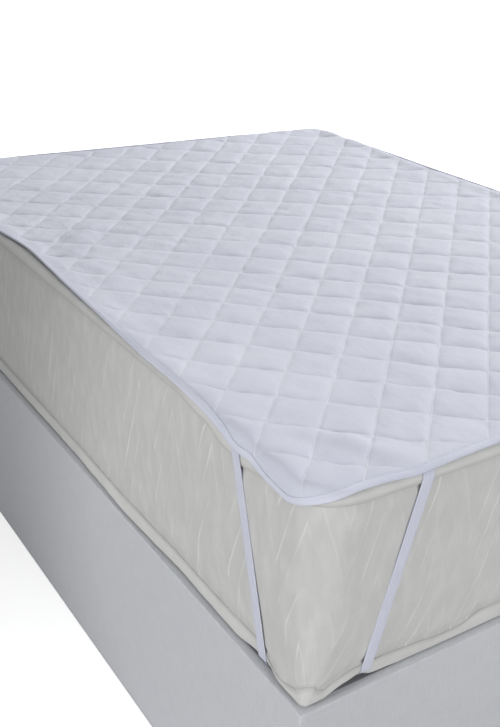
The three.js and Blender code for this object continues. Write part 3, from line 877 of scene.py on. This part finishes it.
# How far the lower edge bulges out, with none where a band presses it in, and how high that reaches.
LOWER_BULGE = by_side(
    left=((-0.94, 0.006), (-0.866, 0.006), (-0.831, 0.008), (-0.80, 0.0), (-0.765, 0.0), (-0.71, 0.0045),
          (-0.628, 0.004), (-0.541, 0.002), (-0.448, 0.006), (-0.335, 0.009), (-0.222, 0.0055),
          (-0.097, 0.0025), (0.94, 0.001)),
    foot=((-0.69, 0.006), (-0.61, 0.007), (-0.577, 0.006), (-0.545, 0.0), (-0.51, 0.0), (-0.39, 0.002),
          (0.69, 0.002)),
    right=0.002,
    head=0.002,
)
BULGE_HEIGHT = 0.055
# The corner's radius by the height above the mattress's bottom: it is sharper near the base.
CORNER_BY_HEIGHT = ((BOTTOM_EDGE, 0.008), (0.032, 0.030), (0.110, MATTRESS_CORNER))


def run_to(drop):
    """Length over the rounded top edge and on down the side, for a depth below the top."""
    on_edge = TOP_EDGE * np.arccos(1 - np.minimum(drop, TOP_EDGE) / TOP_EDGE)
    return on_edge + np.maximum(drop - TOP_EDGE, 0)


TOP_SEAM_RUN = run_to(TOP_SEAM_DROP)
LOW_SEAM_RUN = run_to(MATTRESS_TOP - MATTRESS_BOTTOM - LOW_SEAM)
LOW_EDGE_RUN = run_to(MATTRESS_TOP - MATTRESS_BOTTOM - LOWER_LIFT - BOTTOM_EDGE)


def surface_row(inset, z, out, up, corner=None):
    """One level of the mattress's surface: inset from the side, height, facing and corner radius."""
    if corner is None:
        heights, radii = zip(*CORNER_BY_HEIGHT)
        corner = np.interp(z - MATTRESS_BOTTOM, heights, radii) - inset
    return inset, z, out, up, corner


def side_row(run):
    """The surface at a length from where the top bends down. Negative lengths lie on the top."""
    turn = np.clip(run / TOP_EDGE, 0, math.pi / 2)
    inset = TOP_EDGE * (1 - np.sin(turn)) + np.maximum(-run, 0)
    below = TOP_EDGE * (1 - np.cos(turn)) + np.maximum(run - TOP_EDGE * math.pi / 2, 0)
    return surface_row(inset, MATTRESS_TOP - below, np.sin(turn), np.cos(turn))


def low_row(degrees):
    """The surface on the rounded lower edge, from 0 at the side to 90 degrees at the underside."""
    turn = math.radians(degrees)
    z = MATTRESS_BOTTOM + LOWER_LIFT + BOTTOM_EDGE * (1 - math.sin(turn))
    return surface_row(BOTTOM_EDGE * (1 - math.cos(turn)), z, math.cos(turn), -math.sin(turn))


def ring(row, distance=0.0):
    """The points of a row at every station, moved off the surface by a distance."""
    inset, z, out, up, corner = (np.broadcast_to(value, LENGTHS.shape) for value in row)
    corner = corner + distance * out
    half = np.array([MATTRESS_HALF.x, MATTRESS_HALF.y])
    centres = (STATIONS - OUTWARDS * MATTRESS_CORNER) / (half - MATTRESS_CORNER)
    bulge = LOWER_BULGE * (1 - smooth((z - MATTRESS_BOTTOM) / BULGE_HEIGHT))
    reach = half - (inset - distance * out + corner - bulge)[:, None]
    flat = centres * reach + OUTWARDS * corner[:, None]
    return np.column_stack([flat, z + distance * up])


# The border is drawn in beside each tape, by this depth at the seam and fading over this width.
SEAM_GROOVE = 0.0040
GROOVE_WIDTH = 0.012
SIDE_ROWS = 46
# Long and short waves of the padded border: height and size along it.
LONG_WAVE = {"height": 0.0010, "size": 0.13}
SHORT_WAVE = {"height": 0.0007, "size": 0.028}


def mattress_body():
    rows = [surface_row(inset, MATTRESS_TOP, 0.0, 1.0, 0.03) for inset in (0.30, 0.06)]
    rows += [side_row(TOP_SEAM_RUN * share) for share in np.linspace(0, 1, 7)]
    offsets = [0.0] * len(rows)
    for step in range(1, SIDE_ROWS):
        share = step / SIDE_ROWS - 0.8 * math.sin(2 * math.pi * step / SIDE_ROWS) / (2 * math.pi)
        run = TOP_SEAM_RUN + share * (LOW_SEAM_RUN - TOP_SEAM_RUN)
        from_seam = np.minimum(run - TOP_SEAM_RUN, LOW_SEAM_RUN - run)
        level = run / 0.10
        waves = LONG_WAVE["height"] * uneven(LENGTHS / LONG_WAVE["size"], level, 51)
        waves += SHORT_WAVE["height"] * uneven(LENGTHS / SHORT_WAVE["size"], level / 3, 52)
        swell = 0.0012 + waves * smooth(from_seam / 0.03)
        rows.append(side_row(run))
        offsets.append(swell - SEAM_GROOVE * np.exp(-((from_seam / GROOVE_WIDTH) ** 2)))
    under_tape = [side_row(LOW_SEAM_RUN + (LOW_EDGE_RUN - LOW_SEAM_RUN) * t) for t in np.linspace(0, 1, 6)]
    under_tape += [low_row(degrees) for degrees in (18, 36, 54, 72, 90)]
    rows += under_tape
    offsets += [0.0] * len(under_tape)
    for inset, lifted in ((0.03, 0.9), (0.05, 0.6), (0.075, 0.15)):
        rows.append(surface_row(inset, MATTRESS_BOTTOM + LOWER_LIFT * lifted, 0.0, -1.0, 0.03))
    rows.append(surface_row(0.092, MATTRESS_REST + 0.0018, 0.0, -1.0, 0.10))
    rows += [surface_row(inset, MATTRESS_REST, 0.0, -1.0, 0.14) for inset in (0.11, 0.30)]
    offsets += [0.0] * 6
    rings = [ring(row, offset) for row, offset in zip(rows, offsets)][::-1]
    around = [np.column_stack([LENGTHS, points[:, 2]]) for points in rings]
    piece = closed_body("mattress_body", rings, around)
    dress(piece, mattress_ticking(), "mattress_ticking", "mattress")
    return piece


def tape_ring(name, node, rows, seed):
    """A tape on the mattress's surface. rows are (surface row, length from its sewn edge, width)."""
    outer, inner, maps = [], [], []
    for row, run, width in rows:
        run, width = np.broadcast_to(run, LENGTHS.shape), np.broadcast_to(width, LENGTHS.shape)
        from_edge = np.minimum(run, width - run)
        rounded = np.clip(from_edge / 0.0016, 0.25, 1) ** 0.5 / 2
        dip = 0.25 * np.exp(-(((from_edge - 0.0032) / 0.0009) ** 2))
        ripple = 0.0004 * uneven(LENGTHS / 0.020, run / 0.01 + seed, seed)
        middle = SEAT_GAP + TAPE_THICKNESS / 2
        outer.append(ring(row, middle + TAPE_THICKNESS * (rounded - dip) + ripple))
        inner.append(ring(row, middle - TAPE_THICKNESS * rounded))
        maps.append(np.column_stack([LENGTHS, run]))
    points = np.stack(outer + inner[::-1], 1)
    around = np.stack(maps + maps[::-1], 1)
    faces = band_faces(len(LENGTHS), 2 * len(rows), wrap_rows=True, wrap_columns=True)
    piece = new_piece(name, points, faces, {"around": around.reshape(-1, 2)})
    return dress(piece, TAPE_MATERIAL, "mattress_tape", node)


# How far the top tape lies on the mattress's top, and the bottom tape round its lower edge.
TAPE_ON_TOP = 0.008
LOW_WRAP_DEGREES = 72


def mattress_tapes():
    width = TOP_SEAM_RUN + TAPE_ON_TOP
    shares = (1 - np.cos(np.linspace(0, math.pi, 26))) / 2
    top = [(side_row(width * share - TAPE_ON_TOP), width * (1 - share), width) for share in shares]
    tape_ring("top_edge_tape", "mattress_top_tape", top[::-1], 61)
    straight = LOW_EDGE_RUN - LOW_SEAM_RUN
    width = straight + BOTTOM_EDGE * math.radians(LOW_WRAP_DEGREES)
    shares = 1 - np.cos(np.linspace(0, math.pi / 2, 16))
    bottom = [(side_row(LOW_SEAM_RUN + straight * share), straight * share, width) for share in shares]
    for degrees in np.linspace(0, LOW_WRAP_DEGREES, 9)[1:]:
        bottom.append((low_row(degrees), straight + BOTTOM_EDGE * math.radians(degrees), width))
    tape_ring("bottom_edge_tape", "mattress_bottom_tape", bottom[::-1], 62)


BASE_CORNER = 0.004
BASE_EDGE = 0.003
# Painted shade on the base's top, standing for the shadow in the gap under the mattress's edge, starts this
# far inside the base's side.
PAINTED_SHADE_INSET = 0.017
PLATFORM_CORNER = 0.016


def bed_base():
    half = np.array([BASE_HIGH.x, BASE_HIGH.y])
    top = BASE_HIGH.z
    levels = [(0.30, 0, PLATFORM_CORNER), (0.0, 0, BASE_CORNER)]
    levels += [(0.0, top * share, BASE_CORNER) for share in np.linspace(0.02, 0.98, 20)]
    for step in range(1, 7):
        angle = math.radians(15 * step)
        inset = BASE_EDGE * (1 - math.cos(angle))
        levels.append((inset, top - BASE_EDGE * (1 - math.sin(angle)), BASE_CORNER - inset))
    levels += [(inset, top, PLATFORM_CORNER) for inset in (PAINTED_SHADE_INSET, 0.03, 0.30)]
    rings, around, run = [], [], 0.0
    for number, (inset, z, corner) in enumerate(levels):
        if number:
            run += math.hypot(inset - levels[number - 1][0], z - levels[number - 1][1])
        if inset == PAINTED_SHADE_INSET:
            painted_shade_run = run
        points, outwards, lengths = rounded_outline(*half, BASE_CORNER, 0.02)
        centres = (points - outwards * BASE_CORNER) / (half - BASE_CORNER)
        flat = centres * (half - inset - corner) + outwards * corner
        if 0.01 < z < top - 0.01:
            swell = 0.0005 * uneven(lengths / 0.30, z / 0.2, 71)
            flat += outwards * swell[:, None]
        rings.append(np.column_stack([flat, np.full(len(flat), z)]))
        around.append(np.column_stack([lengths, np.full(len(flat), run)]))
    piece = closed_body("upholstered_base", rings, around)
    return dress(piece, base_upholstery(painted_shade_run), "base_upholstery", "bed_base")


# -------- corner elastics

ELASTIC_CLEARANCE = 0.0007
ELASTIC_TUCK = 0.018
# Distance of the band's middle from the mattress's corner, at the top and bottom of each face.
SIDE_LEG = {"top": 0.214, "bottom": 0.106, "lift": 0.003}
FOOT_LEG = {"top": 0.189, "bottom": 0.115, "lift": 0.012}


def elastic_leg(corner, along_edge, outward, leg):
    """Stations (place, outward normal) down a face of the mattress and round its bottom edge."""
    off_surface = TAPE_FACE + ELASTIC_CLEARANCE + ELASTIC_THICKNESS / 2
    top_radius, bottom_radius = TOP_EDGE + off_surface, BOTTOM_EDGE + off_surface
    top_centre = MATTRESS_TOP - TOP_EDGE
    bottom_centre = MATTRESS_BOTTOM + BOTTOM_EDGE + leg["lift"]
    face_height = top_centre - bottom_centre
    slant = (leg["bottom"] - leg["top"]) / face_height
    up = np.array([0.0, 0.0, 1.0])
    stations = []

    def add(travel, out, z, angle):
        place = corner + along_edge * (leg["top"] + slant * travel) + outward * out + up * z
        stations.append((place, outward * math.cos(angle) + up * math.sin(angle)))

    quarter = top_radius * math.pi / 2
    for share in (1.0, 0.5):
        tucked = ELASTIC_TUCK * share
        add(-quarter - tucked, -TOP_EDGE - tucked, top_centre + top_radius, math.pi / 2)
    for angle in np.radians(np.linspace(90, 0, 11)):
        out = top_radius * math.cos(angle) - TOP_EDGE
        add(-top_radius * angle, out, top_centre + top_radius * math.sin(angle), angle)
    for share in np.linspace(0.05, 0.95, 19):
        add(face_height * share, off_surface, top_centre - face_height * share, 0.0)
    for angle in np.radians(np.linspace(0, -90, 11)):
        out = bottom_radius * math.cos(angle) - BOTTOM_EDGE
        add(face_height - bottom_radius * angle, out, bottom_centre + bottom_radius * math.sin(angle), angle)
    return stations, unit(-outward + along_edge * slant - up * leg["lift"] / 0.08)


def corner_elastic(name, sign_x, sign_y):
    corner = np.array([sign_x * MATTRESS_HALF.x, sign_y * MATTRESS_HALF.y, 0.0])
    x_axis, y_axis = np.array([sign_x, 0.0, 0.0]), np.array([0.0, sign_y, 0.0])
    side, side_inward = elastic_leg(corner, -y_axis, x_axis, SIDE_LEG)
    foot, foot_inward = elastic_leg(corner, -x_axis, y_axis, FOOT_LEG)
    start, end = side[-1][0], foot[-1][0]
    reach = np.linalg.norm(end - start) * 0.36
    under = []
    for t in np.linspace(0, 1, 12)[1:-1]:
        place = (
            (1 - t) ** 3 * start + 3 * (1 - t) ** 2 * t * (start + side_inward * reach)
            + 3 * (1 - t) * t**2 * (end + foot_inward * reach) + t**3 * end
        )
        under.append((place, np.array([0.0, 0.0, -1.0])))
    stations = side + under + foot[::-1]
    places = np.array([place for place, _ in stations])
    normals = np.array([normal for _, normal in stations])
    across = unit(np.cross(normals, unit(np.gradient(places, axis=0))))
    run = run_along(places)
    share = np.linspace(-1, 1, 13)
    edge = np.clip((1 - np.abs(share)) / 0.12, 0.3, 1) ** 0.5
    section = [(s, e) for s, e in zip(share, edge)] + [(s, -e) for s, e in zip(share[::-1], edge[::-1])]
    drawn_in = 1 - 0.04 * np.sin(math.pi * np.clip(run / run[-1] * 2 % 1, 0, 1))
    half_width = (across * ELASTIC_WIDTH / 2) * drawn_in[:, None]
    half_thickness = normals * ELASTIC_THICKNESS / 2
    columns = [places + half_width * s + half_thickness * e for s, e in section]
    points = np.stack(columns, 1)
    faces = closed_tube_faces(len(stations), len(section))
    band = grid_map(run, np.array([s for s, _ in section]) * ELASTIC_WIDTH / 2)
    piece = new_piece(name + "_band", points, faces, {"band": band})
    dress(piece, ELASTIC_MATERIAL, "elastic_webbing", name)
    return piece


# -------- camera, light and floor

def camera():
    """Looks down over the near left corner. Yaw is from +Y towards +X and pitch is downwards."""
    position = (-1.3923, -1.7884, 1.5143)
    yaw, pitch, roll = 0.5960, 0.4466, 0.0525
    forward = Vector((math.cos(pitch) * math.sin(yaw), math.cos(pitch) * math.cos(yaw), -math.sin(pitch)))
    right = Vector((math.cos(yaw), -math.sin(yaw), 0))
    up = right.cross(forward)
    turned_right = right * math.cos(roll) + up * math.sin(roll)
    turned_up = up * math.cos(roll) - right * math.sin(roll)
    data = bpy.data.cameras.new("camera")
    data.lens = 48.67
    data.clip_end = 60
    viewer = new_object("camera", data)
    rotation = Matrix((turned_right, turned_up, -forward)).transposed()
    viewer.matrix_world = Matrix.Translation(position) @ rotation.to_4x4()
    bpy.context.scene.camera = viewer


def add_light(name, kind, place, target, energy, **settings):
    data = bpy.data.lights.new(name, kind)
    data.energy = energy
    for setting, value in settings.items():
        setattr(data, setting, value)
    lamp = new_object(name, data)
    lamp.location = place
    lamp.rotation_euler = (Vector(target) - Vector(place)).to_track_quat("-Z", "Y").to_euler()


# Strength of the room's light on the object, and of the white that the camera sees behind it.
ROOM_LIGHT, ROOM_WHITE = 0.46, 1.15


def studio():
    """A large window, a soft-edged beam on the left side, a weak light on the foot and a pale room."""
    add_light(
        "window", "AREA", place=(6.4, 2.0, 3.7), target=(0, 0, 0.6), energy=460,
        shape="DISK", size=1.8, spread=math.pi,
    )
    add_light(
        "left_side", "SPOT", place=(-3.2, -1.1, 1.4), target=(-0.69, -0.68, 0.42), energy=116,
        shadow_soft_size=0.30, spot_size=math.radians(29), spot_blend=0.12,
    )
    add_light(
        "foot_side", "AREA", place=(-0.5, -3.4, 1.8), target=(-0.35, -0.94, 0.5), energy=5.6,
        shape="DISK", size=1.4, spread=math.radians(80),
    )
    world = bpy.data.worlds.new("studio")
    bpy.context.scene.world = world
    world.use_nodes = True
    tree = world.node_tree
    background = tree.nodes["Background"]
    rays = tree.nodes.new("ShaderNodeLightPath")
    strength = tree.nodes.new("ShaderNodeMapRange")
    strength.inputs["To Min"].default_value = ROOM_LIGHT
    strength.inputs["To Max"].default_value = ROOM_WHITE
    tree.links.new(rays.outputs["Is Camera Ray"], strength.inputs["Value"])
    tree.links.new(strength.outputs[0], background.inputs["Strength"])
    background.inputs["Color"].default_value = (1, 1, 1, 1)
    bpy.context.scene.view_settings.view_transform = "Standard"


# The floor shines a little to the camera, and more where it lies far from the lamps: the distances
# from the origin where this starts and ends, and the strengths there.
GLOW_FROM, GLOW_TO = 1.8, 5.0
NEAR_GLOW, FAR_GLOW = 0.52, 0.85


def floor():
    reach = 14
    points = [(-reach, -reach, 0), (reach, -reach, 0), (reach, reach, 0), (-reach, reach, 0)]
    piece = new_piece("floor", points, [(0, 1, 2, 3)])
    nodes = Nodes("floor", roughness=0.9, specular=0.5)
    place = nodes.add("NewGeometry").outputs["Position"]
    distance = nodes.add("VectorMath", {0: place}, operation="LENGTH").outputs["Value"]
    glow = nodes.range(distance, GLOW_FROM, GLOW_TO, NEAR_GLOW, FAR_GLOW)
    to_camera = nodes.add("LightPath").outputs["Is Camera Ray"]
    nodes.put(nodes.times(to_camera, glow), nodes.shader.inputs["Emission Strength"])
    nodes.shader.inputs["Emission Color"].default_value = (1, 1, 1, 1)
    nodes.shader.inputs["Base Color"].default_value = srgb(238, 238, 238)
    piece.data.materials.append(nodes.material)


# -------- the object

TAPE_MATERIAL = mattress_tape()
ELASTIC_MATERIAL = elastic_webbing()

camera()
studio()
floor()
bed_base()
mattress_body()
mattress_tapes()
panel = quilt_panel()
binding = edge_binding()
for corner_name, corner_x, corner_y in (
    ("near_left", -1, -1), ("near_right", 1, -1), ("far_right", 1, 1), ("far_left", -1, 1),
):
    corner_elastic("corner_elastic_" + corner_name, corner_x, corner_y)
